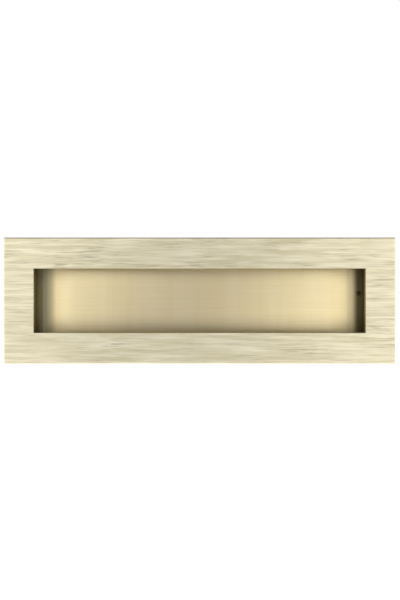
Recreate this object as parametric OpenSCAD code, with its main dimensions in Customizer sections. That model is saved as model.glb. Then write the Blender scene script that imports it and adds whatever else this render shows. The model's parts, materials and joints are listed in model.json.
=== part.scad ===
// Through-door letter plate: a recessed, sprung, inward-opening flap behind a plain border plate,
// a telescopic sleeve through the door, and a room-side frame pulled up by two fixing bolts.
// Frame: X to the right as seen from the street, Y into the door, Z up.
// The origin is the middle of the opening, on the plane where the street-side gasket meets the door.

/* [Front plate] */
// Width of the street-side and room-side plates
plate_w = 254; // [240:1:360]
// Height of both plates
plate_h = 82; // [78:1:120]
// Thickness of the street-side plate
plate_t = 5; // [4.5:0.5:8]
// Border left and right of the opening
border_x = 19.5; // [19:0.5:40]
// Border above and below the opening
border_z = 20.25; // [19:0.25:32]
// Radius of the eased outer arris
arris_r = 1; // [0.3:0.1:1.2]
// Radius of the eased arris round the opening
opening_arris_r = 0.4; // [0.2:0.1:0.8]

/* [Flap] */
// Depth from the plate's front face to the flap's face
recess_depth = 18; // [16:0.5:24]
// Wall thickness of the cast flap
flap_t = 1.5; // [1.2:0.1:2]
// Inner radius of the flap's curved ends
end_r = 10.5; // [6:0.5:11]
// Side step from the opening's edge to the flap's cheek
cheek_step = 0.5; // [0.3:0.1:1]
// How far the flap hangs below the opening's lower edge
flap_overlap = 3.25; // [2.5:0.25:5]
// How far the flap opens, in degrees
flap_open_deg = 80; // [60:1:80]
// Radius of the hinge rod
rod_r = 2; // [1.5:0.25:2.5]
// Height of the hinge rod above the opening's upper edge
hinge_rise = 3.5; // [3.25:0.25:6]

/* [Return spring] */
// Diameter of the spring wire
wire_d = 0.8; // [0.5:0.1:0.9]
// Number of turns round the rod
spring_turns = 2.25; // [1.25:1:2.25]
// Height of the spring's hook above the middle of the opening
hook_z = 5; // [0:0.5:9]

/* [Sleeve and door] */
// Thickness of the door that the set clamps
door_t = 44; // [40:1:60]
// Wall of both sleeves
sleeve_wall = 1; // [0.8:0.1:1.5]
// Side room between flap and sleeve, which holds spring and bush
side_room = 4; // [3.8:0.1:6]
// Sliding clearance between the two sleeves
sleeve_gap = 0.25; // [0.2:0.05:0.5]
// How far the two sleeves overlap in that door
sleeve_lap = 11; // [10:0.5:16]
// How far the room side can move in for a thinner door
slide_in = 4; // [2:0.5:6]
// Thickness of the street-side gasket
gasket_t = 1.5; // [1.5:0.25:3]

/* [Room-side frame] */
// Thickness of the room-side frame
frame_t = 3.5; // [3:0.5:6]

/* [Fixings] */
// Radius of the fixing bolt's plain shank
bolt_r = 2.5; // [2:0.5:3]
// Radius of the bosses behind the front plate
boss_r = 4; // [3.75:0.25:5]
// Length of the bosses behind the door's face
boss_len = 14; // [12:1:20]
// Radius of the small flange screws
screw_r = 1.5; // [1.25:0.25:1.5]

/* [Hidden] */
$fn = 64;

brass = "#dccb95";
dark_brass = "#6b5f45";
steel = "#b9bcc0";
nylon = "#ecebe4";
rubber = "#2b2b2b";

// Opening in the front plate
open_w = plate_w - 2 * border_x;
open_h = plate_h - 2 * border_z;

// How far cutting shapes run past the faces they cut, and how far joined shapes run into each other
past = 1;
overlap = 0.1;

// Depths along Y, from the street inwards
plate_back = -gasket_t;
plate_front = plate_back - plate_t;
flange_t = sleeve_wall;
flange_front = plate_back - flange_t;
web_front = plate_front + recess_depth;
web_back = web_front + flap_t;

// Flap: its cheeks stand just outside the opening
cheek_in = open_w / 2 + cheek_step;
cheek_out = cheek_in + flap_t;
cheek_clear = 0.8;
cheek_front = flange_front + cheek_clear;
flap_bottom = -open_h / 2 - flap_overlap;

// Hinge axis: the rod clears the web and hides above the opening
rod_clear = 1.5;
hinge_y = web_front - rod_r - rod_clear;
hinge_z = open_h / 2 + hinge_rise;
web_rise = 0.25;
flap_top = hinge_z + web_rise;
run_clear = 0.05;
rod_room = 0.6;
ear_r = 5;
ear_h = 14;
ear_bottom = hinge_z - ear_h;
open_end_clear = 0.15;
// The ear's heel is a straight edge that lies flat under the sleeve's ceiling at full opening
heel_reach = 6.9;
heel_drop = 8;
heel_top_y = hinge_y + heel_reach / sin(flap_open_deg);
heel_low_y = hinge_y + (heel_reach + heel_drop * cos(flap_open_deg)) / sin(flap_open_deg);
// Radius that the flap's lower front corners sweep
flap_sweep = norm([hinge_y - cheek_front, hinge_z - flap_bottom]);

// Outer sleeve, inside faces
sleeve_x = cheek_out + side_room;
floor_clear = 0.6;
sleeve_floor = hinge_z - flap_sweep - floor_clear;
sleeve_ceiling = hinge_z + heel_reach + open_end_clear;
sleeve_out_x = sleeve_x + sleeve_wall;

// Inner sleeve, inside faces
slim = sleeve_gap + sleeve_wall;
inner_x = sleeve_x - slim;
inner_floor = sleeve_floor + slim;
inner_ceiling = sleeve_ceiling - slim;
inner_sleeve_clear = 6;
inner_sleeve_front = web_back + inner_sleeve_clear + slide_in;
outer_sleeve_end = inner_sleeve_front + sleeve_lap;

// Room side
inner_gasket_t = 1;
frame_front = door_t + inner_gasket_t;
frame_back = frame_front + frame_t;

// Flanges of both sleeves, let into the backs of the plates
rim = 2.5;
flange_lip = 0.5;
flange_clear = 0.2;
gasket_inset = 1;
sleeve_hole_clear = 0.5;

// Small screws that hold the flanges
screw_head_r = 2.6;
screw_head_h = 1.2;
screw_bite = 2.6;
screw_hole_extra = 0.3;
screw_inset = 18;
screw_pitch = cheek_in - screw_inset;
screw_clear = 0.05;
screw_hole_end = 0.2;
screw_slot_w = 0.7;
screw_slot_depth = 0.6;
head_slope = 0.5;
// The room-side frame is thinner, so its screws bite less and their heads are flatter
frame_skin = 1;
inner_bite = frame_t - flange_t - frame_skin;
inner_head_h = 0.8;
inner_slot_depth = 0.4;
top_screw_z = (sleeve_ceiling + sleeve_wall + plate_h / 2 - rim) / 2;
low_screw_z = (sleeve_floor - sleeve_wall - plate_h / 2 + rim) / 2;
gasket_hole_clear = 0.4;
gasket_hole_r = screw_head_r + gasket_hole_clear;

// Rod bushes
bush_flange_t = 0.9;
bush_flange_r = 4.5;
bush_r = 3.5;
bush_nose = 0.6;
bush_end_wall = 0.5;
bush_fit = 0.03;
bush_seat = 0.05;
rod_end_gap = 0.2;
rod_end = sleeve_out_x + bush_flange_t - bush_end_wall - rod_end_gap;

// Fixing bolts and their bosses
boss_root_step = 0.4;
boss_root_r = boss_r + boss_root_step;
boss_gap = 1.1;
boss_x = sleeve_out_x + boss_gap + boss_root_r;
boss_hole_clear = 0.3;
boss_floor = 2;
bolt_tip = 2.5;
thread_step = 0.4;
thread_r = bolt_r - thread_step;
thread_clear = 0.05;
shank_gap = 0.5;
shank_start = boss_len + slide_in + shank_gap;
shank_end_gap = 0.2;
shank_end = door_t - shank_end_gap;
bolt_head_r = 4.6;
bolt_head_h = bolt_head_r - thread_r;
bolt_hole_clear = 0.25;
bolt_hole_r = bolt_r + bolt_hole_clear;
seat_clear = 0.05;
slot_w = 1.2;
slot_depth = 1;

// Stop bar and its seal on the sleeve's floor
bar_t = 1.2;
bar_end_gap = 2;
bar_half = cheek_in - end_r - bar_end_gap;
seal_t = 1.5;
bar_back = web_front - seal_t;
bar_foot = 9;
bar_front = bar_back - bar_foot;
bar_drop = 1.25;
bar_top = -open_h / 2 - bar_drop;
rivet_r = 1.2;
rivet_head_r = 2.2;
rivet_head_h = 0.6;
rivet_tail_h = 0.5;
rivet_fit = 0.02;
rivet_inset = 4;
rivet_y = bar_back - bar_t - rivet_inset;
rivet_pitch = bar_half * 2 / 3;

// Buffers between the flap's cheeks and the back of the plate
buffer_clear = 0.05;
buffer_t = cheek_clear - buffer_clear;
buffer_h = 8;
buffer_w = 3.5;
buffer_drop = 1;
buffer_z = -open_h / 2 - buffer_drop;

// Return spring: coil round the rod at the right, one leg in the flap, one under the ceiling
wire_r = wire_d / 2;
coil_room = 0.6;
wire_clear = 0.05;
coil_r = rod_r + coil_room + wire_r;
coil_pitch = wire_d + wire_clear;
coil_x0 = cheek_out + wire_r + wire_clear;
hook_deg = 40;
hook_y = web_front - end_r + end_r * sin(hook_deg);
hook_clear = 0.4;
hook_hole_r = wire_r + hook_clear;
hook_reach = 5;
anchor_gap = 1.5;
anchor_y = web_back + anchor_gap;
anchor_z = sleeve_ceiling - wire_r - wire_clear;
wire_sides = 8;
steps_per_turn = 16;

// ---------- plain helpers ----------

module block(x0, x1, y0, y1, z0, z1) {
    translate([x0, y0, z0])
        cube([x1 - x0, y1 - y0, z1 - z0]);
}

// Round bar along X
module bar_x(r, x0, x1) {
    translate([x0, 0, 0])
        rotate([0, 90, 0])
            cylinder(r = r, h = x1 - x0);
}

// Round bar along Y, or a cone when r_end is given
module bar_y(r, y0, y1, r_end = undef) {
    translate([0, y0, 0])
        rotate([-90, 0, 0])
            cylinder(r1 = r, r2 = is_undef(r_end) ? r : r_end, h = y1 - y0);
}

// Half section of a slab, u = 0 at its show face, with both show corners eased
module eased_profile(half, depth, r) {
    translate([r, -half])
        square([depth - r, 2 * half]);
    translate([0, r - half])
        square([depth, 2 * (half - r)]);
    for (s = [-1, 1])
        translate([r, s * (half - r)])
            circle(r);
}

// Section of an opening whose show corners are eased outwards
module opening_profile(half, depth, r) {
    translate([-past, -half])
        square([depth + 2 * past, 2 * half]);
    difference() {
        translate([-past, -half - r])
            square([past + r, 2 * (half + r)]);
        for (s = [-1, 1])
            translate([r, s * (half + r)])
                circle(r);
    }
}

// A section that runs along X crossed with one that runs along Z
module crossed(w, h) {
    intersection() {
        translate([-w / 2 - past, 0, 0])
            rotate([90, 0, 90])
                linear_extrude(w + 2 * past)
                    children(0);
        translate([0, 0, -h / 2 - past])
            linear_extrude(h + 2 * past)
                rotate([0, 0, 90])
                    children(1);
    }
}

module eased_slab(w, h, t, r) {
    crossed(w, h) {
        eased_profile(h / 2, t, r);
        eased_profile(w / 2, t, r);
    }
}

module eased_opening(w, h, t, r) {
    crossed(w, h) {
        opening_profile(h / 2, t, r);
        opening_profile(w / 2, t, r);
    }
}

module at_both_bosses() {
    for (s = [-1, 1])
        translate([s * boss_x, 0, 0])
            children();
}

module at_flange_screws() {
    for (i = [-1, 0, 1])
        for (z = [low_screw_z, top_screw_z])
            translate([i * screw_pitch, 0, z])
                children();
}

// Flange outline: it reaches the plate's rim above and below, and stops short of the bosses
module flange_block(half_x, y0, y1, grow = 0) {
    half_w = half_x + sleeve_wall + flange_lip + grow;
    half_h = plate_h / 2 - rim - flange_clear + grow;
    block(-half_w, half_w, y0, y1, -half_h, half_h);
}

// ---------- street-side plate ----------

module front_plate() {
    color(brass)
        difference() {
            union() {
                translate([0, plate_front, 0])
                    eased_slab(plate_w, plate_h, plate_t, arris_r);
                at_both_bosses() {
                    bar_y(boss_root_r, plate_back - past, 0);
                    bar_y(boss_r, plate_back - past, boss_len);
                }
            }
            translate([0, plate_front, 0])
                eased_opening(open_w, open_h, plate_t, opening_arris_r);
            flange_block(sleeve_x, flange_front, plate_back + past, flange_clear);
            at_both_bosses()
                bar_y(thread_r + thread_clear, plate_front + boss_floor, boss_len + past);
            at_flange_screws()
                bar_y(screw_r + screw_clear, flange_front - screw_bite - screw_hole_end, plate_back);
        }
}

module plate_gasket() {
    half_w = plate_w / 2 - gasket_inset;
    half_h = plate_h / 2 - gasket_inset;
    hole = sleeve_wall + sleeve_hole_clear;
    color(rubber)
        difference() {
            block(-half_w, half_w, plate_back, 0, -half_h, half_h);
            block(-sleeve_x - hole, sleeve_x + hole, plate_back - past, past,
                sleeve_floor - hole, sleeve_ceiling + hole);
            at_both_bosses()
                bar_y(boss_root_r + boss_hole_clear, plate_back - past, past);
            block(-boss_x, boss_x, plate_back - past, past,
                -boss_root_r - boss_hole_clear, boss_root_r + boss_hole_clear);
            at_flange_screws()
                bar_y(gasket_hole_r, plate_back - past, past);
        }
}

// ---------- sleeves ----------

module tube(half_x, z0, z1, y0, y1) {
    difference() {
        block(-half_x - sleeve_wall, half_x + sleeve_wall, y0, y1, z0 - sleeve_wall, z1 + sleeve_wall);
        block(-half_x, half_x, y0 - past, y1 + past, z0, z1);
    }
}

// Flat flange round a tube, let into the back of a plate
module flange(half_x, z0, z1, y0) {
    difference() {
        flange_block(half_x, y0, y0 + flange_t);
        block(-half_x, half_x, y0 - past, y0 + flange_t + past, z0, z1);
        at_flange_screws()
            bar_y(screw_r + screw_hole_extra, y0 - past, y0 + flange_t + past);
    }
}

module outer_sleeve() {
    color(dark_brass)
        difference() {
            union() {
                tube(sleeve_x, sleeve_floor, sleeve_ceiling, flange_front, outer_sleeve_end);
                flange(sleeve_x, sleeve_floor, sleeve_ceiling, flange_front);
            }
            translate([0, hinge_y, hinge_z])
                bar_x(bush_r + bush_seat, -sleeve_out_x - past, sleeve_out_x + past);
            at_stop_rivets()
                cylinder(r = rivet_r + rivet_fit, h = 4 * sleeve_wall, center = true);
        }
}

module inner_sleeve() {
    color(dark_brass)
        union() {
            tube(inner_x, inner_floor, inner_ceiling, inner_sleeve_front, frame_front + flange_t);
            flange(inner_x, inner_floor, inner_ceiling, frame_front);
        }
}

// One pan-head screw whose head sits on y = 0 and whose shank points to -Y
module flange_screw(head_h, bite, slot) {
    difference() {
        union() {
            bar_y(screw_head_r, 0, head_h, screw_head_r - head_slope);
            bar_y(screw_r, -flange_t - bite, overlap);
        }
        block(-screw_slot_w / 2, screw_slot_w / 2, head_h - slot, head_h + past, -screw_head_r, screw_head_r);
    }
}

module outer_sleeve_screws() {
    color(steel)
        at_flange_screws()
            translate([0, plate_back, 0])
                flange_screw(screw_head_h, screw_bite, screw_slot_depth);
}

// The room-side screws enter from the door's side, so they are turned about
module inner_sleeve_screws() {
    color(steel)
        at_flange_screws()
            translate([0, frame_front, 0])
                rotate([0, 0, 180])
                    flange_screw(inner_head_h, inner_bite, inner_slot_depth);
}

// ---------- hinge ----------

module pivot_rod() {
    color(steel)
        translate([0, hinge_y, hinge_z])
            bar_x(rod_r, -rod_end, rod_end);
}

// Blind nylon bush, pushed into the sleeve's right-hand wall from outside
module rod_bush() {
    color(nylon)
        translate([0, hinge_y, hinge_z])
            difference() {
                union() {
                    bar_x(bush_flange_r, sleeve_out_x, sleeve_out_x + bush_flange_t);
                    bar_x(bush_r, sleeve_x - bush_nose, sleeve_out_x + overlap);
                }
                bar_x(rod_r + bush_fit, sleeve_x - bush_nose - past,
                    sleeve_out_x + bush_flange_t - bush_end_wall);
            }
}

module right_rod_bush() {
    rod_bush();
}

module left_rod_bush() {
    mirror([1, 0, 0])
        rod_bush();
}

// Keeps the flap central on the side that has no spring
module left_spacer() {
    spacer_gap = 0.1;
    color(nylon)
        translate([0, hinge_y, hinge_z])
            difference() {
                bar_x(bush_r, -sleeve_x + bush_nose + spacer_gap, -cheek_out - spacer_gap);
                bar_x(rod_r + run_clear, -sleeve_x, -cheek_in);
            }
}

// ---------- flap ----------

// Plan section of a slab with both back corners rounded
module pan_section(half, front, back, r) {
    translate([-half, front])
        square([2 * half, back - r - front]);
    translate([r - half, front])
        square([2 * (half - r), back - front]);
    intersection() {
        translate([-half, front])
            square([2 * half, back - front]);
        for (s = [-1, 1])
            translate([s * (half - r), back - r])
                circle(r);
    }
}

// The flap's pan: a flat web whose two ends curve forwards into cheeks
module pan() {
    translate([0, 0, flap_bottom])
        linear_extrude(flap_top - flap_bottom)
            difference() {
                pan_section(cheek_out, cheek_front, web_back, end_r + flap_t);
                pan_section(cheek_in, cheek_front - past, web_front, end_r);
            }
}

// Flat lug that carries the cheek on up to the rod, with the heel that stops the flap
module ear() {
    translate([cheek_in, 0, 0])
        rotate([90, 0, 90])
            linear_extrude(flap_t)
                polygon([
                    [cheek_front, ear_bottom],
                    [web_back, ear_bottom],
                    [heel_low_y, hinge_z - heel_drop],
                    [heel_top_y, hinge_z],
                    [cheek_front, hinge_z]
                ]);
    translate([0, hinge_y, hinge_z])
        bar_x(ear_r, cheek_in, cheek_out);
}

module flap() {
    color(brass)
        difference() {
            union() {
                difference() {
                    pan();
                    translate([0, hinge_y, hinge_z])
                        bar_x(rod_r + rod_room, -cheek_in, cheek_in);
                }
                ear();
                mirror([1, 0, 0])
                    ear();
            }
            translate([0, hinge_y, hinge_z])
                bar_x(rod_r + run_clear, -cheek_out - past, cheek_out + past);
            translate([0, hook_y, hook_z])
                bar_x(hook_hole_r, cheek_in - end_r / 2, cheek_out + past);
        }
}

// ---------- stop bar, seal and buffers ----------

module at_stop_rivets() {
    for (i = [-1, 0, 1])
        translate([i * rivet_pitch, rivet_y, sleeve_floor])
            children();
}

module stop_bar() {
    color(dark_brass)
        difference() {
            union() {
                block(-bar_half, bar_half, bar_front, bar_back, sleeve_floor, sleeve_floor + bar_t);
                block(-bar_half, bar_half, bar_back - bar_t, bar_back, sleeve_floor, bar_top);
            }
            at_stop_rivets()
                cylinder(r = rivet_r + rivet_fit, h = 4 * bar_t, center = true);
        }
}

module stop_bar_rivets() {
    color(steel)
        at_stop_rivets() {
            translate([0, 0, -sleeve_wall - rivet_tail_h])
                cylinder(r = rivet_r, h = bar_t + sleeve_wall + rivet_tail_h + overlap);
            translate([0, 0, bar_t])
                cylinder(r1 = rivet_head_r, r2 = rivet_head_r * 0.6, h = rivet_head_h);
            translate([0, 0, -sleeve_wall - rivet_tail_h])
                cylinder(r = rivet_head_r * 0.8, h = rivet_tail_h);
        }
}

// Foam strip on the back of the stop bar, which the flap closes on
module closing_seal() {
    seal_clear = 0.05;
    color(rubber)
        block(-bar_half, bar_half, bar_back, web_front - seal_clear, flap_bottom, bar_top);
}

module buffer() {
    color(rubber)
        block(cheek_in, cheek_in + buffer_w, flange_front, flange_front + buffer_t,
            buffer_z, buffer_z + buffer_h);
}

module right_buffer() {
    buffer();
}

module left_buffer() {
    mirror([1, 0, 0])
        buffer();
}

// ---------- return spring ----------

function unit(v) = v / norm(v);

// Coil from the flap's side to the sleeve's side, starting at the front of the rod
function coil_point(a) = [
    coil_x0 + coil_pitch * a / 360,
    hinge_y - coil_r * cos(a),
    hinge_z + coil_r * sin(a)
];

coil_end_deg = spring_turns * 360;
coil_steps = ceil(spring_turns * steps_per_turn);
coil_last = coil_point(coil_end_deg);

spring_path = concat(
    [
        [coil_x0 - hook_reach, hook_y, hook_z],
        [coil_x0 - 1.2, hook_y, hook_z],
        [coil_x0 - 0.3, hook_y, hook_z + 0.3],
        [coil_x0, hook_y, hook_z + 1.2],
        [coil_x0, hinge_y - coil_r + 0.5, (hook_z + hinge_z) / 2],
        [coil_x0, hinge_y - coil_r, hinge_z - 2]
    ],
    [for (i = [0:coil_steps]) coil_point(coil_end_deg * i / coil_steps)],
    [
        [coil_last[0], coil_last[1] + 1.2, coil_last[2] + (anchor_z - coil_last[2]) * 0.4],
        [coil_last[0], anchor_y - 1.5, anchor_z - 0.4],
        [coil_last[0], anchor_y, anchor_z]
    ]
);

function tangent(p, i) = unit(p[min(i + 1, len(p) - 1)] - p[max(i - 1, 0)]);
function square_to(n, t) = unit(n - (n * t) * t);

// Ring normals carried along the path without twist
function carried_normals(p) = [
    for (i = 0, n = square_to([0, 0, 1], tangent(p, 0)); i < len(p);
         i = i + 1, n = i < len(p) ? square_to(n, tangent(p, i)) : n) n
];

module wire(p, r, sides) {
    normals = carried_normals(p);
    points = [
        for (i = [0:len(p) - 1])
            let (t = tangent(p, i), n = normals[i], b = cross(t, n))
                for (k = [0:sides - 1])
                    p[i] + r * (cos(360 * k / sides) * n + sin(360 * k / sides) * b)
    ];
    walls = [
        for (i = [0:len(p) - 2])
            for (k = [0:sides - 1])
                let (a = i * sides + k, b = i * sides + (k + 1) % sides)
                    [a, a + sides, b + sides, b]
    ];
    first_cap = [for (k = [0:sides - 1]) k];
    last_cap = [for (k = [sides - 1:-1:0]) (len(p) - 1) * sides + k];
    polyhedron(points, concat(walls, [first_cap], [last_cap]), convexity = 10);
}

module return_spring() {
    color(steel)
        wire(spring_path, wire_r, wire_sides);
}

// ---------- room side ----------

module inner_gasket() {
    half_w = plate_w / 2 - gasket_inset;
    half_h = plate_h / 2 - gasket_inset;
    hole = sleeve_wall + sleeve_hole_clear;
    color(rubber)
        difference() {
            block(-half_w, half_w, door_t, frame_front, -half_h, half_h);
            block(-inner_x - hole, inner_x + hole, door_t - past, frame_front + past,
                inner_floor - hole, inner_ceiling + hole);
            at_both_bosses()
                bar_y(bolt_hole_r, door_t - past, frame_front + past);
            at_flange_screws()
                bar_y(gasket_hole_r, door_t - past, frame_front + past);
        }
}

module inner_frame() {
    color(brass)
        difference() {
            translate([0, frame_back, 0])
                rotate([0, 0, 180])
                    eased_slab(plate_w, plate_h, frame_t, arris_r);
            block(-inner_x, inner_x, frame_front - past, frame_back + past, inner_floor, inner_ceiling);
            flange_block(inner_x, frame_front - past, frame_front + flange_t, flange_clear);
            at_both_bosses() {
                bar_y(bolt_hole_r, frame_front - past, frame_back + past);
                bar_y(thread_r + seat_clear, frame_back - bolt_head_h, frame_back + past,
                    bolt_head_r + past + seat_clear);
            }
            at_flange_screws()
                bar_y(screw_r + screw_clear, frame_front,
                    frame_front + flange_t + inner_bite + screw_hole_end);
        }
}

module fixing_bolt() {
    color(brass)
        difference() {
            union() {
                bar_y(thread_r, bolt_tip, frame_back - bolt_head_h + overlap);
                bar_y(bolt_r, shank_start, shank_end);
                bar_y(thread_r, frame_back - bolt_head_h, frame_back, bolt_head_r);
            }
            block(-slot_w / 2, slot_w / 2, frame_back - slot_depth, frame_back + past,
                -bolt_head_r - past, bolt_head_r + past);
        }
}

module right_fixing_bolt() {
    translate([boss_x, 0, 0])
        fixing_bolt();
}

module left_fixing_bolt() {
    translate([-boss_x, 0, 0])
        fixing_bolt();
}

front_plate();
plate_gasket();
outer_sleeve();
outer_sleeve_screws();
pivot_rod();
left_rod_bush();
right_rod_bush();
left_spacer();
return_spring();
stop_bar();
stop_bar_rivets();
closing_seal();
left_buffer();
right_buffer();
flap();
inner_sleeve();
inner_sleeve_screws();
inner_gasket();
inner_frame();
left_fixing_bolt();
right_fixing_bolt();
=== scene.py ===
import json
import math

import bmesh
import bpy
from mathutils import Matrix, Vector


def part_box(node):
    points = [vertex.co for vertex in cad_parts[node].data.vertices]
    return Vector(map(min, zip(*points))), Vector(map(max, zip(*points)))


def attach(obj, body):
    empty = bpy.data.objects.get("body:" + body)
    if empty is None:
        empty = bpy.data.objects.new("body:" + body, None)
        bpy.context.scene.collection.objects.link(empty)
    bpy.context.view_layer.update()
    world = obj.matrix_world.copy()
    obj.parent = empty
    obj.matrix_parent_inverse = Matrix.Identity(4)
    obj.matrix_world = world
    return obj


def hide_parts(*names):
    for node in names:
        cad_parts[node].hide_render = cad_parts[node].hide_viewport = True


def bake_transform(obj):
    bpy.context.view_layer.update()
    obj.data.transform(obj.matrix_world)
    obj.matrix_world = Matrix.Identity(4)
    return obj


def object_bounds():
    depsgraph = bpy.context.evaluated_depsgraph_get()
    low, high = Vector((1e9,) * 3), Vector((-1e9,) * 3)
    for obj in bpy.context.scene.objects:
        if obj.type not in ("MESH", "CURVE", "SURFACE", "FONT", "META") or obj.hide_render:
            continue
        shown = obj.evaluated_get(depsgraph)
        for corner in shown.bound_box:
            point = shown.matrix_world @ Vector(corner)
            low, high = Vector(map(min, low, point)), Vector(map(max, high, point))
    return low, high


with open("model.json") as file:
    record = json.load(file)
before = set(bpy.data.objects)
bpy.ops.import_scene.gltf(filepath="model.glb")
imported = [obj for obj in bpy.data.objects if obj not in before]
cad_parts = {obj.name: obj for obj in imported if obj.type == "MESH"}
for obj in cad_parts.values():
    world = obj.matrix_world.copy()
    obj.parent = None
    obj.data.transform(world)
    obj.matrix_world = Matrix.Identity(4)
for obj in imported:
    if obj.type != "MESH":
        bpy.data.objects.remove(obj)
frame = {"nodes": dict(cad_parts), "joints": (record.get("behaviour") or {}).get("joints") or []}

CAD_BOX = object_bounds()
MM = 0.001
NODES = frame["nodes"]

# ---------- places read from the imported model, in metres ----------

PLATE_FRONT_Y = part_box("front_plate")[0].y
FLAP_LOW, FLAP_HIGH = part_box("flap")
HINGE = Vector(frame["joints"][0]["pos_m"])

# ---------- sizes that several pieces share, in millimetres ----------

HINGE_MM = (0, HINGE.y / MM, HINGE.z / MM)
FLAP_T = 1.5          # wall of the flap
FLAP_FACE = 11.5      # depth of the flap's face behind the door's street side
ROD_R = 2.0           # hinge rod
ROD_CLEAR = 0.05      # between the rod and what turns on it
BUSH_R = 3.5          # outside of the bushes and the spacer
HOOK_R = 0.8          # hole in the flap for the return spring's hook
HOOK_Y = 7.75
HOOK_Z = 5.0
EDGE_SOFT = 0.2       # edges of moulded, folded and turned parts

# ---------- camera ----------

VIEW_DISTANCE = 450 * MM
VIEW_WIDTH = 259.05 * MM
FRAME_ASPECT = 600 / 400
SENSOR = 36

camera_data = bpy.data.cameras.new("camera")
camera_data.sensor_fit = "VERTICAL"
camera_data.sensor_height = SENSOR
camera_data.lens = SENSOR * VIEW_DISTANCE / (VIEW_WIDTH * FRAME_ASPECT)
camera = bpy.data.objects.new("camera", camera_data)
bpy.context.scene.collection.objects.link(camera)
camera.location = (0.25 * MM, PLATE_FRONT_Y - VIEW_DISTANCE, 0.45 * MM)
camera.rotation_euler = (math.radians(90), 0, 0)
bpy.context.scene.camera = camera
bpy.context.scene.view_settings.view_transform = "Standard"


# ---------- small helpers ----------

def linear(hex_colour):
    """sRGB hex to the linear RGBA that the shaders take."""
    channels = [int(hex_colour[i:i + 2], 16) / 255 for i in (1, 3, 5)]
    return tuple(c / 12.92 if c <= 0.04045 else ((c + 0.055) / 1.055) ** 2.4 for c in channels) + (1.0,)


def add(tree, kind, inputs=None, **settings):
    """Adds a node; an input is given a value, or the socket that feeds it."""
    node = tree.nodes.new(kind)
    for name, value in settings.items():
        setattr(node, name, value)
    for name, value in (inputs or {}).items():
        if isinstance(value, bpy.types.NodeSocket):
            tree.links.new(value, node.inputs[name])
        else:
            node.inputs[name].default_value = value
    return node


def new_material(name, **fixed):
    """An empty Principled material: fixed sockets are the same all over the surface."""
    material = bpy.data.materials.new(name)
    material.use_nodes = True
    tree = material.node_tree
    tree.nodes.clear()
    shader = add(tree, "ShaderNodeBsdfPrincipled", fixed)
    add(tree, "ShaderNodeOutputMaterial", {"Surface": shader.outputs[0]})
    return material, tree, shader


def scaled_coords(tree, size_mm, move=(0, 0, 0)):
    """Object coordinates in units of a feature's real size along X, Y and Z."""
    coords = add(tree, "ShaderNodeTexCoord")
    scale = [1 / (s * MM) for s in size_mm]
    return add(tree, "ShaderNodeMapping",
               {"Vector": coords.outputs["Object"], "Scale": scale, "Location": move}).outputs[0]


def noise(tree, vector, detail=3.0, rough=0.5, distort=0.0):
    return add(tree, "ShaderNodeTexNoise",
               {"Vector": vector, "Scale": 1.0, "Detail": detail, "Roughness": rough,
                "Distortion": distort}).outputs["Fac"]


def band(tree, value, low, high, out_low=0.0, out_high=1.0):
    """A smooth step of a value from low to high."""
    return add(tree, "ShaderNodeMapRange",
               {"Value": value, "From Min": low, "From Max": high, "To Min": out_low,
                "To Max": out_high}, interpolation_type="SMOOTHSTEP").outputs["Result"]


def mix(tree, factor, a, b):
    node = add(tree, "ShaderNodeMix", data_type="RGBA")
    for index, value in ((0, factor), (6, a), (7, b)):
        if isinstance(value, bpy.types.NodeSocket):
            tree.links.new(value, node.inputs[index])
        else:
            node.inputs[index].default_value = value
    return node.outputs[2]


def maths(tree, operation, a, b=0.0):
    node = add(tree, "ShaderNodeMath", operation=operation)
    for index, value in ((0, a), (1, b)):
        if isinstance(value, bpy.types.NodeSocket):
            tree.links.new(value, node.inputs[index])
        else:
            node.inputs[index].default_value = value
    return node.outputs[0]


def bump(tree, shader, height, depth_mm, strength=1.0):
    relief = add(tree, "ShaderNodeBump",
                 {"Height": height, "Distance": depth_mm * MM, "Strength": strength})
    tree.links.new(relief.outputs[0], shader.inputs["Normal"])


# ---------- materials ----------

def place_on(tree):
    """X, Y and Z on the object, in metres."""
    coords = add(tree, "ShaderNodeTexCoord").outputs["Object"]
    return add(tree, "ShaderNodeSeparateXYZ", {0: coords}).outputs


def face_on(tree, low, high):
    """1 where the surface faces along the door's thickness, 0 on its edges."""
    facing = add(tree, "ShaderNodeTexCoord").outputs["Normal"]
    depth = add(tree, "ShaderNodeSeparateXYZ", {0: facing}).outputs["Y"]
    return band(tree, maths(tree, "ABSOLUTE", depth), low, high)


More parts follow.
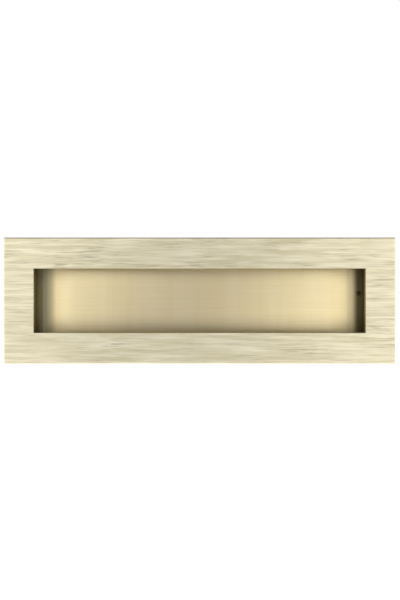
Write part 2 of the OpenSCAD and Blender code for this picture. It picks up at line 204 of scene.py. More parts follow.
def brushed_antique_brass():
    """Cast brass, belt-brushed along its length, darkened and then relieved.
    Fine hairlines over soft cream clouds, with grey-olive patina left in short strokes that come in
    clusters and on the walls of the opening; the outer edges are rubbed bright."""
    material, tree, shader = new_material("brushed_antique_brass", Metallic=1.0)
    hairs = noise(tree, scaled_coords(tree, (26, 0.9, 0.55)), 3, 0.6)
    clouds = noise(tree, scaled_coords(tree, (40, 7, 2.4), (1, 0, 4)), 4, 0.65)
    strokes = noise(tree, scaled_coords(tree, (20, 3, 1.0), (3, 0, 7)), 5, 0.62, 0.2)
    clusters = noise(tree, scaled_coords(tree, (34, 30, 9), (0, 5, 2)), 3, 0.55)
    base = mix(tree, band(tree, clouds, 0.32, 0.68), linear("#d6cdab"), linear("#f3ecd1"))
    combed = mix(tree, band(tree, hairs, 0.3, 0.7, 0.4, 0.0), base, linear("#c6bd9c"))
    in_cluster = band(tree, clusters, 0.46, 0.64, 0.08, 0.58)
    kept = maths(tree, "MULTIPLY", band(tree, strokes, 0.47, 0.68), in_cluster)
    worn = mix(tree, kept, combed, linear("#837b62"))
    flat = face_on(tree, 0.6, 0.9)
    place = place_on(tree)
    border_x, border_z, fade = 112 * MM, 31 * MM, 2 * MM       # on the border, clear of both sets of edges
    far_x = band(tree, maths(tree, "ABSOLUTE", place["X"]), border_x, border_x + fade)
    far_z = band(tree, maths(tree, "ABSOLUTE", place["Z"]), border_z, border_z + fade)
    outside = maths(tree, "MAXIMUM", far_x, far_z)
    edges = mix(tree, outside, linear("#857b5c"), linear("#e9e2c9"))
    whole = mix(tree, flat, edges, worn)
    tree.links.new(whole, shader.inputs["Base Color"])
    tree.links.new(band(tree, strokes, 0.3, 0.75, 0.32, 0.42), shader.inputs["Roughness"])
    bump(tree, shader, maths(tree, "MULTIPLY", hairs, flat), 0.02, 0.4)
    return material


def satin_flap_brass():
    """Rolled brass, fine-polished along its length: smoother and warmer than the plate, faintly banded.
    Its dark finish is left in the bent ends, where a buffing wheel can't reach; the right end is painted
    darker still as painted shade, and a faint stripe of painted highlight runs down the left one. Painted
    shade darkens it along its foot and a little under its head. A ring round the spring's hook hole is
    darker."""
    material, tree, shader = new_material("satin_flap_brass", Metallic=1.0)
    bands = noise(tree, scaled_coords(tree, (14, 40, 160)), 3, 0.6)
    hairs = noise(tree, scaled_coords(tree, (34, 1, 0.8)), 3, 0.6)
    place = place_on(tree)
    base = mix(tree, band(tree, bands, 0.3, 0.7), linear("#f8e5b2"), linear("#fcebbc"))
    fine = mix(tree, band(tree, hairs, 0.3, 0.7, 0.0, 0.12), base, linear("#d6c294"))
    # painted shade: darker towards the flap's foot and a little under its head, where the plate's border
    # shades it
    foot = band(tree, place["Z"], -22 * MM, -7 * MM, 0.36, 0.0)
    head = band(tree, place["Z"], 12 * MM, 22 * MM, 0.0, 0.08)
    fine_with_painted_shade = mix(tree, maths(tree, "ADD", foot, head), fine, linear("#645b42"))
    far = maths(tree, "ABSOLUTE", maths(tree, "SUBTRACT", place["X"], 1.0 * MM))
    end = band(tree, far, 96.6 * MM, 105.2 * MM)
    # the bent ends keep a dark finish; the right one is painted darker still, as painted shade
    side = band(tree, place["X"], -1 * MM, 1 * MM)
    patina_and_right_shade = mix(tree, side, linear("#6f6a55"), linear("#4e4832"))
    # painted highlight: a faint pale stripe down the left bent end, in place of a reflection in the bend
    left_highlight_rise = band(tree, place["X"], -105.2 * MM, -104.2 * MM)
    left_highlight_fall = band(tree, place["X"], -104.2 * MM, -103.4 * MM, 1.0, 0.0)
    left_painted_highlight = maths(tree, "MULTIPLY", maths(tree, "MULTIPLY", left_highlight_rise, left_highlight_fall), 0.1)
    bent = mix(tree, left_painted_highlight, patina_and_right_shade, linear("#c9bb90"))
    # a darker ring round the spring's hook hole
    across = maths(tree, "POWER", maths(tree, "SUBTRACT", place["Y"], HOOK_Y * MM), 2)
    along = maths(tree, "POWER", maths(tree, "SUBTRACT", place["Z"], HOOK_Z * MM), 2)
    from_hook = maths(tree, "SQRT", maths(tree, "ADD", across, along))
    hook_ring_dark = maths(tree, "MULTIPLY", band(tree, from_hook, 0.9 * MM, 2.4 * MM, 0.85, 0.0), side)
    bent_end = mix(tree, hook_ring_dark, bent, linear("#1f1b13"))
    tree.links.new(mix(tree, end, fine_with_painted_shade, bent_end), shader.inputs["Base Color"])
    tree.links.new(band(tree, far, 84 * MM, 97 * MM, 0.28, 0.42), shader.inputs["Roughness"])
    bump(tree, shader, hairs, 0.01, 0.3)
    return material


def dark_patina_brass():
    """Sheet brass left in its dark chemical finish, mottled and dull."""
    material, tree, shader = new_material("dark_patina_brass", Metallic=1.0)
    mottle = noise(tree, scaled_coords(tree, (9, 9, 9)), 5, 0.6)
    base = mix(tree, band(tree, mottle, 0.3, 0.7), linear("#6f6343"), linear("#8c7d57"))
    tree.links.new(base, shader.inputs["Base Color"])
    tree.links.new(band(tree, mottle, 0.2, 0.8, 0.36, 0.52), shader.inputs["Roughness"])
    return material


def turned_brass():
    """Bar brass turned on a lathe: bright, fine rings."""
    material, tree, shader = new_material("turned_brass", Metallic=1.0)
    rings = noise(tree, scaled_coords(tree, (30, 0.25, 30)), 2)
    base = mix(tree, band(tree, rings, 0.3, 0.7), linear("#d3b56c"), linear("#e3c882"))
    tree.links.new(base, shader.inputs["Base Color"])
    tree.links.new(band(tree, rings, 0.3, 0.7, 0.22, 0.34), shader.inputs["Roughness"])
    return material


def plain_steel(name, low, high, rough_low, rough_high, grain_mm):
    """Steel whose tone and shine shift a little along its grain, as the tool or the plating left it."""
    material, tree, shader = new_material(name, Metallic=1.0)
    grain = noise(tree, scaled_coords(tree, grain_mm), 3)
    base = mix(tree, band(tree, grain, 0.3, 0.7), linear(low), linear(high))
    tree.links.new(base, shader.inputs["Base Color"])
    tree.links.new(band(tree, grain, 0.3, 0.7, rough_low, rough_high), shader.inputs["Roughness"])
    return material


def dull_polymer(name, low, high, grain_mm, relief_mm, rough_low, rough_high):
    """A polymer with a grain of its own size: cells in foam, a moulded skin on nylon and rubber."""
    material, tree, shader = new_material(name)
    grain = noise(tree, scaled_coords(tree, grain_mm), 4)
    base = mix(tree, band(tree, grain, 0.3, 0.7), linear(low), linear(high))
    tree.links.new(base, shader.inputs["Base Color"])
    tree.links.new(band(tree, grain, 0.3, 0.7, rough_low, rough_high), shader.inputs["Roughness"])
    bump(tree, shader, grain, relief_mm)
    return material


BRUSHED = brushed_antique_brass()
SATIN = satin_flap_brass()
PATINA = dark_patina_brass()
TURNED = turned_brass()
# bright, with fine lines drawn along the rod
GROUND_STEEL = plain_steel("ground_steel", "#a9acb0", "#c6c9cc", 0.18, 0.3, (12, 0.3, 0.3))
# nearly black, with the broken shine of an oil film
SPRING_STEEL = plain_steel("oiled_spring_steel", "#393733", "#595651", 0.35, 0.5, (0.6, 0.6, 0.6))
# pale and a little cloudy
ZINC = plain_steel("zinc_plated_steel", "#b6b9bb", "#d0d2d2", 0.3, 0.45, (2, 2, 2))
# off-white, half dull, barely mottled
NYLON = dull_polymer("moulded_nylon", "#ddd9cc", "#ece9de", (3, 3, 3), 0.01, 0.4, 0.5)
# black and matt, pitted with small cells
FOAM = dull_polymer("closed_cell_foam", "#1d1d1e", "#2c2c2e", (0.6, 0.6, 0.6), 0.15, 0.8, 0.95)
# dark grey, smoother than the foam
RUBBER = dull_polymer("buffer_rubber", "#242424", "#303030", (1.5, 1.5, 1.5), 0.03, 0.6, 0.75)


def put_on(piece, material):
    piece.data.materials.clear()
    piece.data.materials.append(material)


# ---------- making and finishing pieces ----------

def reworked(mesh, work):
    """Lets one function change a mesh's points and faces."""
    shell = bmesh.new()
    shell.from_mesh(mesh)
    work(shell)
    shell.to_mesh(mesh)
    shell.free()
    return mesh


def faced_out(shell):
    bmesh.ops.recalc_face_normals(shell, faces=shell.faces)


def welded(shell):
    bmesh.ops.remove_doubles(shell, verts=shell.verts, dist=0.001 * MM)


def whole_faces(shell):
    bmesh.ops.remove_doubles(shell, verts=shell.verts, dist=0.0005 * MM)
    bmesh.ops.dissolve_limit(shell, angle_limit=math.radians(0.2), verts=shell.verts, edges=shell.edges)


def raw_mesh(name, points_mm, faces):
    """A closed mesh from points in millimetres, with its faces turned outwards."""
    mesh = bpy.data.meshes.new(name)
    mesh.from_pydata([Vector(p) * MM for p in points_mm], [], faces)
    return reworked(mesh, faced_out)


def shown(name, mesh):
    piece = bpy.data.objects.new(name, mesh)
    bpy.context.scene.collection.objects.link(piece)
    return piece


def settle(piece):
    """Makes the piece's modifiers real and takes them off."""
    graph = bpy.context.evaluated_depsgraph_get()
    mesh = bpy.data.meshes.new_from_object(piece.evaluated_get(graph))
    piece.modifiers.clear()
    piece.data = mesh
    return piece


def shaped(piece, tool, operation):
    """Adds a tool's solid to a piece, or cuts it away."""
    step = piece.modifiers.new("shape", "BOOLEAN")
    step.operation = operation
    step.solver = "EXACT"
    step.object = tool
    settle(piece)
    bpy.data.objects.remove(tool)
    return piece


def eased(piece, edge_mm, segments=2, from_deg=40):
    """Rounds the sharp edges a little and keeps flat faces flat to the eye."""
    piece.data.shade_smooth()
    edge = piece.modifiers.new("edge", "BEVEL")
    edge.width = edge_mm * MM
    edge.segments = segments
    edge.limit_method = "ANGLE"
    edge.angle_limit = math.radians(from_deg)
    piece.modifiers.new("flats", "WEIGHTED_NORMAL").keep_sharp = True
    settle(piece)
    return piece


def smooth_by_angle(piece, degrees=35):
    piece.data.shade_smooth()
    piece.data.set_sharp_from_angle(angle=math.radians(degrees))
    return piece


def fitted(piece, body, finish, slot, *nodes):
    """Gives a piece its finish and its body, and hides the parts that it stands for."""
    put_on(piece, finish)
    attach(piece, body)
    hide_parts(*nodes)
    return piece


def copied(node, name):
    """A copy of a part, its loose triangles merged into whole faces."""
    raw = NODES[node].data
    mesh = bpy.data.meshes.new(name)
    mesh.from_pydata([v.co.copy() for v in raw.vertices], [], [list(p.vertices) for p in raw.polygons])
    return shown(name, reworked(mesh, whole_faces))


def turned(name, profile, sides, centre=(0, 0, 0), axis="Y", closed=False, radius_at=None):
    """A lathe-turned solid: the profile is (along the axis, radius) in millimetres.
    A closed profile is a ring with a bore; an open one is capped at both ends."""
    points, faces = [], []
    for along, radius in profile:
        for k in range(sides):
            turn = 2 * math.pi * k / sides
            r = radius_at(along, turn, radius) if radius_at else radius
            a, b = r * math.cos(turn), r * math.sin(turn)
            offset = {"X": (along, a, b), "Y": (a, along, b), "Z": (a, b, along)}[axis]
            points.append([c + o for c, o in zip(centre, offset)])
    rings = len(profile)
    for i in range(rings if closed else rings - 1):
        j = (i + 1) % rings
        for k in range(sides):
            n = (k + 1) % sides
            faces.append((i * sides + k, j * sides + k, j * sides + n, i * sides + n))
    if not closed:
        faces.append(tuple(range(sides)))
        faces.append(tuple((rings - 1) * sides + k for k in range(sides)))
    return shown(name, raw_mesh(name, points, faces))


def block(name, low, high):
    corners = [(x, y, z) for x in (low[0], high[0]) for y in (low[1], high[1]) for z in (low[2], high[2])]
    sides = [(0, 1, 3, 2), (4, 5, 7, 6), (0, 1, 5, 4), (2, 3, 7, 6), (0, 2, 6, 4), (1, 3, 7, 5)]
    return shown(name, raw_mesh(name, corners, sides))


def prism_x(name, outline, x0, x1):
    """A plate of constant outline (y, z) between two planes across X."""
    n = len(outline)
    points = [(x, y, z) for x in (x0, x1) for y, z in outline]
    walls = [(i, (i + 1) % n, n + (i + 1) % n, n + i) for i in range(n)]
    return shown(name, raw_mesh(name, points, walls + [tuple(range(n)), tuple(range(n, 2 * n))]))


# ---------- flap ----------

FLAP_REACH = 11.2     # over which its ends bend forwards
FLAP_RISE = 0.25      # from the hinge's centre to the web's top edge
FLAP_OPEN_DEG = 80
EAR_R = 5.0
EAR_HEEL = 6.9        # from the hinge's centre to the edge that stops on the sleeve's ceiling
EAR_DROP = 8.0        # from the hinge's centre down to where that edge ends
EAR_H = 14.0
EAR_SKIN = 0.03       # keeps the joined faces of ear and cheek out of one plane


def bend_turn(share):
    """How far the flap's end has turned after a share of its bend: it starts and ends gently."""
    return math.pi / 4 * (1 - math.cos(math.pi * share))


def flap_bend(steps, fine=40):
    """(x, y, turn) along one bent end, each step worked out in fine ones."""
    count = steps * fine
    run = sum(math.cos(bend_turn((i + 0.5) / count)) for i in range(count)) / count
    length = FLAP_REACH / run
    x, y = FLAP_HIGH.x / MM - FLAP_T - FLAP_REACH, FLAP_FACE
    bend = [(x, y, 0.0)]
    for i in range(count):
        turn = bend_turn((i + 0.5) / count)
        x += math.cos(turn) * length / count
        y -= math.sin(turn) * length / count
        if (i + 1) % fine == 0:
            bend.append((x, y, bend_turn((i + 1) / count)))
    return bend


def flap_pan(cheek_front):
    """The web and its two bent ends, as one closed shell of even thickness."""
    bend = flap_bend(30)
    half = [(0.0, FLAP_FACE, 0.0)] + bend + [(bend[-1][0], cheek_front, math.pi / 2)]
    line = [(-x, y, -turn) for x, y, turn in reversed(half[1:])] + half
    low, top = FLAP_LOW.z / MM, HINGE.z / MM + FLAP_RISE
    points = []
    for z in (low, top):
        points += [(x, y, z) for x, y, turn in line]
        points += [(x + FLAP_T * math.sin(turn), y + FLAP_T * math.cos(turn), z) for x, y, turn in line]
    n = len(line)
    faces = []
    for i in range(n - 1):
        faces += [(i, i + 1, 2 * n + i + 1, 2 * n + i), (n + i, n + i + 1, 3 * n + i + 1, 3 * n + i),
                  (i, i + 1, n + i + 1, n + i), (2 * n + i, 2 * n + i + 1, 3 * n + i + 1, 3 * n + i)]
    faces += [(0, n, 3 * n, 2 * n), (n - 1, 2 * n - 1, 4 * n - 1, 3 * n - 1)]
    return shown("flap_pan", raw_mesh("flap_pan", points, faces))


def ear_outline(front):
    """An ear from the side: round over the rod, with the sloping heel that stops it when it is open."""
    y0, z0 = HINGE.y / MM, HINGE.z / MM
    slope = math.radians(FLAP_OPEN_DEG)
    over = [(y0 + EAR_R * math.cos(math.radians(a)), z0 + EAR_R * math.sin(math.radians(a)))
            for a in range(4, 177, 6)]
    heel_low = y0 + (EAR_HEEL + EAR_DROP * math.cos(slope)) / math.sin(slope)
    heel_top = y0 + EAR_HEEL / math.sin(slope)
    return [(front, z0 - EAR_H), (FLAP_FACE + FLAP_T, z0 - EAR_H), (heel_low, z0 - EAR_DROP),
            (heel_top, z0)] + over + [(front, z0)]


def flap():
    """One pressed pan with bent ends, carried on two flat ears that turn on the rod."""
    cheek_front = FLAP_LOW.y / MM
    cheek_in = FLAP_HIGH.x / MM - FLAP_T
    piece = flap_pan(cheek_front)
    outline = ear_outline(cheek_front + EAR_SKIN)
    for side in (-1, 1):
        ear = prism_x("ear", outline, side * (cheek_in - EAR_SKIN), side * (cheek_in + FLAP_T - EAR_SKIN))
        shaped(piece, ear, "UNION")
    past = 3              # each hole's tool runs this far past the cheek
    web_room, room_end = ROD_R + 0.6, cheek_in - 2 * EAR_SKIN
    bore = ROD_R + ROD_CLEAR
    for name, ends, radius, sides, centre in (
            ("rod_room", (-room_end, room_end), web_room, 48, HINGE_MM),
            ("rod_hole", (-cheek_in - past, cheek_in + past), bore, 48, HINGE_MM),
            ("hook_hole", (cheek_in - 5, cheek_in + past), HOOK_R, 24, (0, HOOK_Y, HOOK_Z))):
        tool = turned(name, [(x, radius) for x in ends], sides, centre, "X")
        shaped(piece, tool, "DIFFERENCE")
    smooth_by_angle(piece, 30)
    piece.modifiers.new("flats", "WEIGHTED_NORMAL").keep_sharp = True
    settle(piece)
    return fitted(piece, "flap", SATIN, "flap_brass", "flap")


flap()

# ---------- return spring ----------

WIRE_R = 0.4
HOOK_BEND_R = 1.4
COIL_R = 3.0
COIL_PITCH = 0.85
COIL_TURNS = 2.25
COIL_X = 109.95
TAIL_Y = 14.5         # where the tail meets the sleeve's ceiling
TAIL_Z = 30.85


def spring_route():
    """The wire's centre line: hook through the flap, leg up, coil round the rod, leg to the ceiling."""
    y0, z0 = HINGE.y / MM, HINGE.z / MM
    hook_end = COIL_X - HOOK_BEND_R
    hook = [(COIL_X - 5, HOOK_Y, HOOK_Z), (hook_end, HOOK_Y, HOOK_Z)]
    bend = [(hook_end + HOOK_BEND_R * math.sin(a), HOOK_Y, HOOK_Z + HOOK_BEND_R * (1 - math.cos(a)))
            for a in (math.radians(d) for d in range(10, 91, 10))]
    front, leg_low, leg_steps = y0 - COIL_R, HOOK_Z + HOOK_BEND_R, 11
    leg = []
    for i in range(1, leg_steps + 1):
        t = i / leg_steps
        ease = t * t * (3 - 2 * t)
        leg.append((COIL_X, HOOK_Y + (front - HOOK_Y) * ease, leg_low + (z0 - leg_low) * t))
    per_turn = 40
    coil = []
    for i in range(1, int(COIL_TURNS * per_turn) + 1):
        turn = 2 * math.pi * i / per_turn
        coil.append((COIL_X + COIL_PITCH * i / per_turn, y0 - COIL_R * math.cos(turn),
                     z0 + COIL_R * math.sin(turn)))
    last_x, last_y, last_z = coil[-1]
    tail_steps = 12
    tail = []
    for i in range(1, tail_steps + 1):
        t = i / tail_steps
        tail.append((last_x, last_y + (TAIL_Y - last_y) * t,
                     last_z + (TAIL_Z - last_z) * math.sin(t * math.pi / 2)))
    return [Vector(p) for p in hook + bend + leg + coil + tail]


def swept(name, route, radius, sides):
    """A round wire along a route, its section carried on without a twist, its ends rounded off."""
    last = len(route) - 1
    ways = [(route[min(i + 1, last)] - route[max(i - 1, 0)]).normalized() for i in range(last + 1)]
    normal = ways[0].orthogonal().normalized()
    rings = []
    for place, way in zip(route, ways):
        normal = (normal - way * normal.dot(way)).normalized()
        rings.append((place, way, normal.copy(), 1.0))
    rounded = ((0.35, 0.85), (0.6, 0.45))      # how far out each end ring stands, and how wide it is
    for out, share in rounded:
        start_way, start_up = rings[0][1:3]
        end_way, end_up = rings[-1][1:3]
        start = (route[0] - start_way * radius * out, start_way, start_up, share)
        end = (route[-1] + end_way * radius * out, end_way, end_up, share)
        rings = [start] + rings + [end]
    points, faces = [], []
    for place, way, up, share in rings:
        across = way.cross(up)
        for k in range(sides):
            turn = 2 * math.pi * k / sides
            points.append(place + (up * math.cos(turn) + across * math.sin(turn)) * radius * share)
    for i in range(len(rings) - 1):
        for k in range(sides):
            n = (k + 1) % sides
            faces.append((i * sides + k, i * sides + n, (i + 1) * sides + n, (i + 1) * sides + k))
    faces += [tuple(range(sides)), tuple((len(rings) - 1) * sides + k for k in range(sides))]
    return shown(name, raw_mesh(name, points, faces))


def return_spring():
    """A wire between the flap, which holds its hook, and the sleeve's ceiling, which holds its tail."""
    wire = smooth_by_angle(swept("return_spring_wire", spring_route(), WIRE_R, 12), 50)
    put_on(wire, SPRING_STEEL)
    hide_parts("return_spring")
    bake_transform(wire)


return_spring()


# ---------- rod, bushes and spacer ----------

def rod():
    """A ground rod with chamfered ends."""
    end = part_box("pivot_rod")[1].x / MM
    chamfer = 0.35
    profile = [(-end, ROD_R - chamfer), (-end + chamfer, ROD_R),
               (end - chamfer, ROD_R), (end, ROD_R - chamfer)]
    piece = turned("hinge_rod", profile, 40, HINGE_MM, "X")
    fitted(smooth_by_angle(piece), "street_side", GROUND_STEEL, "bright_steel", "pivot_rod")


def bushes():
    """Two blind bushes: a lead-in at the bore, a rim outside the sleeve, a small dish in the back."""
    low, high = (v.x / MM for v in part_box("right_rod_bush"))
    bore, lead, chamfer = ROD_R + 0.03, 0.4, 0.3
    rim, rim_t, shut = 4.5, 0.9, 0.5
    dish, dish_slope, dish_r, centre_r = 0.25, 0.3, 1.2, 0.05
    mouth = [(low + lead, bore), (low, bore + lead), (low, BUSH_R - chamfer), (low + chamfer, BUSH_R)]
    shoulder = [(high - rim_t, BUSH_R), (high - rim_t, rim - EDGE_SOFT), (high - rim_t + EDGE_SOFT, rim)]
    back = [(high - 2 * EDGE_SOFT, rim), (high - EDGE_SOFT / 2, rim - EDGE_SOFT / 2),
            (high, rim - 2 * EDGE_SOFT)]
    gate = [(high, dish_r), (high - dish, dish_r - dish_slope), (high - dish, centre_r)]
    blind = [(high - shut, centre_r), (high - shut, bore)]
    for side, name in ((1, "right_rod_bush"), (-1, "left_rod_bush")):
        profile = [(side * along, r) for along, r in mouth + shoulder + back + gate + blind]
        piece = turned(name + "_moulded", profile, 40, HINGE_MM, "X", closed=True)
        fitted(smooth_by_angle(piece), "street_side", NYLON, "nylon", name)


def spacer():
    """A tube on the rod, where the other end has the spring."""
    low, high = (v.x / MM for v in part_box("left_spacer"))
    bore = ROD_R + ROD_CLEAR
    profile = [(low, bore + EDGE_SOFT), (low, BUSH_R - EDGE_SOFT), (low + EDGE_SOFT, BUSH_R),
               (high - EDGE_SOFT, BUSH_R), (high, BUSH_R - EDGE_SOFT), (high, bore + EDGE_SOFT),
               (high - EDGE_SOFT, bore), (low + EDGE_SOFT, bore)]
    piece = turned("spacer_tube", profile, 40, HINGE_MM, "X", closed=True)
    fitted(smooth_by_angle(piece), "street_side", NYLON, "nylon", "left_spacer")


rod()
bushes()
spacer()


# ---------- screws and rivets, set out in rows ----------

def set_out_tree():
    """Two rows of one fastener: how many, how far apart, and each row's place are inputs.
    Each one is turned by its own amount, as a screwdriver leaves it."""
    tree = bpy.data.node_groups.new("fastener_rows", "GeometryNodeTree")
    face = tree.interface
    face.new_socket("Geometry", in_out="OUTPUT", socket_type="NodeSocketGeometry")
    for name, kind in (("Fastener", "NodeSocketObject"), ("Count", "NodeSocketInt"),
                       ("Pitch", "NodeSocketFloat"), ("Depth", "NodeSocketFloat"),
                       ("Low Row", "NodeSocketFloat"), ("Top Row", "NodeSocketFloat"),
                       ("Turn", "NodeSocketFloat"), ("Seed", "NodeSocketInt"),
                       ("Finish", "NodeSocketMaterial")):
        face.new_socket(name, in_out="INPUT", socket_type=kind)
    given = tree.nodes.new("NodeGroupInput").outputs
    count_less = maths(tree, "SUBTRACT", given["Count"], 1.0)
    span = maths(tree, "MULTIPLY", count_less, given["Pitch"])
    first_x = maths(tree, "MULTIPLY", span, -0.5)
    rows = add(tree, "GeometryNodeJoinGeometry")
    for height in ("Low Row", "Top Row"):
        start = add(tree, "ShaderNodeCombineXYZ", {"X": first_x, "Y": given["Depth"], "Z": given[height]})
        step = add(tree, "ShaderNodeCombineXYZ", {"X": given["Pitch"]})
        row = add(tree, "GeometryNodeMeshLine",
                  {"Count": given["Count"], "Start Location": start.outputs[0], "Offset": step.outputs[0]})
        tree.links.new(row.outputs[0], rows.inputs[0])
    one = add(tree, "GeometryNodeObjectInfo", {"Object": given["Fastener"]})
    turn = add(tree, "FunctionNodeRandomValue", {"Seed": given["Seed"]}, data_type="FLOAT")
    tree.links.new(given["Turn"], turn.inputs[3])
    angle = add(tree, "ShaderNodeCombineXYZ", {"Y": turn.outputs[1]})
    placed = add(tree, "GeometryNodeInstanceOnPoints",
                 {"Points": rows.outputs[0], "Instance": one.outputs["Geometry"],
                  "Rotation": angle.outputs[0]})
    real = add(tree, "GeometryNodeRealizeInstances", {0: placed.outputs[0]})
    done = add(tree, "GeometryNodeSetMaterial", {"Geometry": real.outputs[0], "Material": given["Finish"]})
    add(tree, "NodeGroupOutput", {0: done.outputs[0]})
    return tree


SET_OUT = set_out_tree()


def set_out(name, fastener, **sizes):
    """Runs the rows and keeps the result as one plain mesh."""
    piece = shown(name, bpy.data.meshes.new(name))
    rows = piece.modifiers.new("rows", "NODES")
    rows.node_group = SET_OUT
    for socket in SET_OUT.interface.items_tree:
        if socket.in_out == "INPUT":
            rows[socket.identifier] = fastener if socket.name == "Fastener" else sizes[socket.name]
    settle(piece)
    bpy.data.objects.remove(fastener)
    return piece


SCREW_HEAD_R = 2.6
SLEEVE_WALL = 1.0
STOP_BAR_T = 1.2
RIVET_HEAD_R = 2.2
RIVET_TAIL_H = 0.5


def pan_screw(way, head_h, slot_h, shank):
    """A zinc pan-head screw with a slot: its head's underside is at 0 and its point lies at -way."""
    head, stem_r, slot_half = SCREW_HEAD_R, 1.35, 0.35
    crown = [(0.0, head - 0.12), (0.12, head), (head_h * 0.45, head - 0.02), (head_h * 0.8, head - 0.35),
             (head_h, head - 0.9), (head_h, 0.5)]
    stem = [(-shank, 0.7), (-shank + 0.5, stem_r), (-0.02, stem_r)]
    screw = turned("pan_screw", [(way * y, r) for y, r in stem + crown], 32)
    reach = head + 1
    near, far = sorted((way * (head_h - slot_h), way * 3))
    slot = block("slot", (-slot_half, near, -reach), (slot_half, far, reach))
    return smooth_by_angle(shaped(screw, slot, "DIFFERENCE"))


def snap_rivet():
    """A domed rivet through the stop bar and the sleeve's floor, spread below."""
    shank, spread, crown_h, flat_r = 1.2, 1.76, 0.6, 0.25
    under, top = -SLEEVE_WALL, STOP_BAR_T
    tail = [(under - RIVET_TAIL_H, shank), (under - 0.4, 1.6), (under - 0.1, spread), (under, spread),
            (under, shank), (top, shank), (top, RIVET_HEAD_R)]
    dome = [(top + crown_h * math.sin(a), flat_r + (RIVET_HEAD_R - flat_r) * math.cos(a))
            for a in (math.radians(d) for d in range(15, 76, 15))]
    return smooth_by_angle(turned("snap_rivet", tail + dome + [(top + crown_h, flat_r)], 28, axis="Z"), 40)


def flange_screws(node, name, body, way, head_h, slot_h, shank, seed):
    """Three screws over and three under the opening, each turned its own way."""
    low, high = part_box(node)
    head = SCREW_HEAD_R * MM
    depth = high.y - head_h * MM if way > 0 else low.y + head_h * MM
    rows = {"Low Row": low.z + head, "Top Row": high.z - head}
    screws = set_out(name, pan_screw(way, head_h, slot_h, shank), Count=3, Pitch=high.x - head,
                     Depth=depth, Turn=math.pi, Seed=seed, Finish=ZINC, **rows)
    fitted(screws, body, ZINC, "zinc_steel", node)


def floor_rivets():
    """Three rivets in one row: the tree's two rows fall together and are welded."""
    low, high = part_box("stop_bar_rivets")
    floor_z = low.z + (SLEEVE_WALL + RIVET_TAIL_H) * MM
    rows = {"Low Row": floor_z, "Top Row": floor_z}
    rivets = set_out("floor_rivets", snap_rivet(), Count=3, Pitch=high.x - RIVET_HEAD_R * MM,
                     Depth=(low.y + high.y) / 2, Turn=0.0, Seed=0, Finish=ZINC, **rows)
    reworked(rivets.data, welded)
    fitted(rivets, "street_side", ZINC, "zinc_steel", "stop_bar_rivets")


flange_screws("outer_sleeve_screws", "street_flange_screws", "street_side", 1, 1.2, 0.6, 3.6, 4)
flange_screws("inner_sleeve_screws", "room_flange_screws", "room_side", -1, 0.8, 0.4, 2.5, 9)
floor_rivets()


# ---------- fixing bolts ----------

THREAD_PITCH = 0.8
THREAD_DEPTH = 0.28
THREAD_R = 2.1        # over the thread's crests, and of the neck under the head
THREAD_END = 18.2
SHANK_R = 2.5
SHANK_START = 18.5
SHANK_END = 43.8
SLOT_HALF = 0.6
SLOT_DEPTH = 1.0


def thread_cut(tip):
    """Gives each point of the threaded stretch its depth in a V groove that fades out at both ends."""
    def radius_at(along, turn, radius):
        if radius != THREAD_R or along > THREAD_END - 0.01 or along < tip + 0.3:
            return radius
        phase = (along / THREAD_PITCH - turn / (2 * math.pi)) % 1
        fade = min(1, (along - tip) / 1.0, (THREAD_END - along) / 0.8)
        return radius - THREAD_DEPTH * max(0.0, fade) * abs(2 * phase - 1)
    return radius_at


def fixing_bolt(node, name):
    """Cut thread, plain shank and a countersunk slotted head."""
    low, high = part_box(node)
    centre_x = (low.x + high.x) / 2 / MM
    tip, back, head = low.y / MM, high.y / MM, (high.x - low.x) / 2 / MM
    steps = int((THREAD_END - tip) / THREAD_PITCH * 8)
    point, neck = 0.35, THREAD_R - 0.01
    start = tip + point
    threaded = [(start + (THREAD_END - start) * i / steps, THREAD_R) for i in range(steps + 1)]
    shank = [(SHANK_START, SHANK_R - 0.25), (SHANK_START + 0.25, SHANK_R),
             (SHANK_END - EDGE_SOFT, SHANK_R), (SHANK_END, SHANK_R - EDGE_SOFT), (SHANK_END, neck)]
    cone = [(back - (head - THREAD_R), neck), (back - 0.12, head - 0.12),
            (back - 0.02, head - 0.06), (back, head - 0.16)]
    profile = [(tip, THREAD_R - 0.5)] + threaded + shank + cone
    bolt = turned(name, profile, 32, (centre_x, 0, 0), radius_at=thread_cut(tip))
    slot = block("slot", (centre_x - SLOT_HALF, back - SLOT_DEPTH, -head - 1),
                 (centre_x + SLOT_HALF, back + 1, head + 1))
    shaped(bolt, slot, "DIFFERENCE")
    fitted(smooth_by_angle(bolt, 30), "room_side", TURNED, "bolt_brass", node)


fixing_bolt("right_fixing_bolt", "fixing_bolt_right")
fixing_bolt("left_fixing_bolt", "fixing_bolt_left")


# ---------- foam and rubber ----------

def soft_parts():
    """Foam gaskets cut from sheet, with rounded cut edges, and moulded rubber pads."""
    for node, name, body, edge in (("plate_gasket", "street_gasket", "street_side", 0.35),
                                   ("inner_gasket", "room_gasket", "room_side", 0.3)):
        gasket = eased(copied(node, name), edge, 3)
        fitted(gasket, body, FOAM, "foam", node)
    for node in ("left_buffer", "right_buffer"):
        pad = eased(copied(node, node + "_pad"), 0.3, 3)
        fitted(pad, "street_side", RUBBER, "buffer_rubber", node)


def closing_seal():
    """A D-section foam strip, stuck by its flat back to the stop bar."""
    low, high = (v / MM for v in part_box("closing_seal"))
    thick, half = high.y - low.y, (high.z - low.z) / 2
    middle = (high.z + low.z) / 2
    backing = 0.25        # straight sides before the round of the D
    round_y = low.y + backing
    outline = [(low.y, middle - half), (round_y, middle - half)]
    outline += [(round_y + (thick - backing) * math.cos(a), middle + half * math.sin(a))
                for a in (math.radians(d) for d in range(-75, 76, 15))]
    outline += [(round_y, middle + half), (low.y, middle + half)]
    seal = prism_x("closing_seal_strip", outline, low.x, high.x)
    fitted(smooth_by_angle(seal, 40), "street_side", FOAM, "foam", "closing_seal")


soft_parts()
closing_seal()


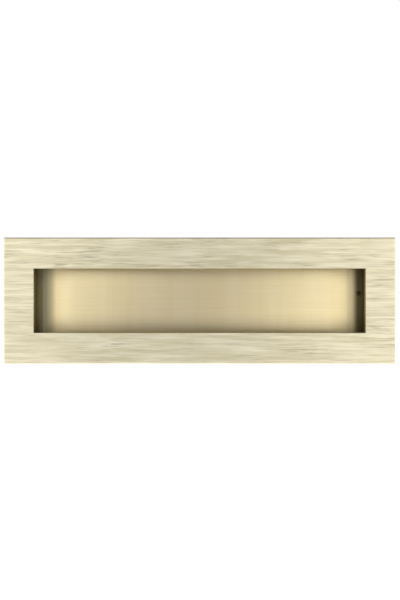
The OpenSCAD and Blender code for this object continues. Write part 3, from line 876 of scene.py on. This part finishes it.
# ---------- sheet-metal parts ----------

def sheet_parts():
    """Folded sheet: every edge is broken, so it catches a thin line of light."""
    for node, name, body in (("outer_sleeve", "street_sleeve", "street_side"),
                             ("inner_sleeve", "room_sleeve", "room_side"),
                             ("stop_bar", "stop_angle", "street_side")):
        fitted(eased(copied(node, name), EDGE_SOFT), body, PATINA, "patina_brass", node)


sheet_parts()


# ---------- parts shown as they were modelled ----------

for plate in ("front_plate", "inner_frame"):
    put_on(NODES[plate], BRUSHED)

# ---------- studio ----------

FLOOR_Z = CAD_BOX[0][2] - 190 * MM
FLOOR_HALF = 6.0
FLOOR_FRONT = -0.9        # a little behind the camera: the plate mirrors no more of it than that
FLOOR_GLOW = 0.66


def floor():
    mesh = bpy.data.meshes.new("floor")
    half = FLOOR_HALF
    corners = [(-half, FLOOR_FRONT), (half, FLOOR_FRONT), (half, half), (-half, half)]
    mesh.from_pydata([(x, y, FLOOR_Z) for x, y in corners], [], [(0, 1, 2, 3)])
    piece = bpy.data.objects.new("floor", mesh)
    bpy.context.scene.collection.objects.link(piece)
    material, tree, shader = new_material("lit_opal_table", Roughness=0.9)
    shader.inputs["Emission Color"].default_value = linear("#ffffff")
    shader.inputs["Emission Strength"].default_value = FLOOR_GLOW
    grain = noise(tree, scaled_coords(tree, (40, 40, 40)), 2)
    tree.links.new(mix(tree, grain, linear("#f4f4f3"), linear("#f8f8f7")), shader.inputs["Base Color"])
    put_on(piece, material)


floor()


ROOM_LIGHT = (1.2, 1.185, 1.165, 1)
PATCH_LIGHT = (0.0, 0.02, 0.11, 1)
OVERHEAD_LIGHT = (0.22, 0.22, 0.22, 1)
PATCH_INNER_DEG = 4.5
PATCH_OUTER_DEG = 11.6
PATCH_LEAN = -0.45
PATCH_STRETCH = 0.6       # below 1 it is taller than it is wide
PATCH_RIGHT = 0.018
PATCH_DOWN = 0.03


def studio_world():
    """Soft pale light all round, dim overhead, and one dark patch in front of the plate: a tall leaning
    shape, like whoever stands there, that darkens the middle of the flap and of the border."""
    world = bpy.data.worlds.new("studio")
    bpy.context.scene.world = world
    world.use_nodes = True
    tree = world.node_tree
    tree.nodes.clear()
    way = add(tree, "ShaderNodeTexCoord").outputs["Generated"]
    parts = add(tree, "ShaderNodeSeparateXYZ", {0: way}).outputs
    lean = maths(tree, "MULTIPLY", parts["Z"], PATCH_LEAN)
    sideways = maths(tree, "ADD", maths(tree, "ADD", parts["X"], lean), PATCH_RIGHT)
    upwards = maths(tree, "MULTIPLY", maths(tree, "ADD", parts["Z"], PATCH_DOWN), PATCH_STRETCH)
    flat = add(tree, "ShaderNodeCombineXYZ", {"X": sideways, "Y": upwards}).outputs[0]
    away = add(tree, "ShaderNodeVectorMath", {0: flat}, operation="LENGTH").outputs["Value"]
    inner, outer = (math.sin(math.radians(a)) for a in (PATCH_INNER_DEG, PATCH_OUTER_DEG))
    patch = band(tree, away, inner, outer, 1.0, 0.0)
    ahead = maths(tree, "MULTIPLY", patch, band(tree, parts["Y"], -0.6, -0.3, 1.0, 0.0))
    room = mix(tree, ahead, ROOM_LIGHT, PATCH_LIGHT)
    lit = mix(tree, band(tree, parts["Z"], 0.4, 0.8), room, OVERHEAD_LIGHT)
    seen = add(tree, "ShaderNodeLightPath").outputs["Is Camera Ray"]
    sky = add(tree, "ShaderNodeBackground", {"Color": mix(tree, seen, lit, (1, 1, 1, 1))})
    add(tree, "ShaderNodeOutputWorld", {"Surface": sky.outputs[0]})


studio_world()


def softbox(name, place, aim, width, height, watts):
    light = bpy.data.lights.new(name, "AREA")
    light.shape = "RECTANGLE"
    light.size = width
    light.size_y = height
    light.energy = watts
    piece = bpy.data.objects.new(name, light)
    bpy.context.scene.collection.objects.link(piece)
    piece.location = place
    piece.rotation_euler = (Vector(aim) - Vector(place)).to_track_quat("-Z", "Y").to_euler()


for side_name, side in (("left", -1), ("right", 1)):
    softbox("softbox_" + side_name, place=(side * 0.9, -1.1, 0.5), aim=(0, 0, 0), width=0.7, height=1.0,
            watts=1.5)
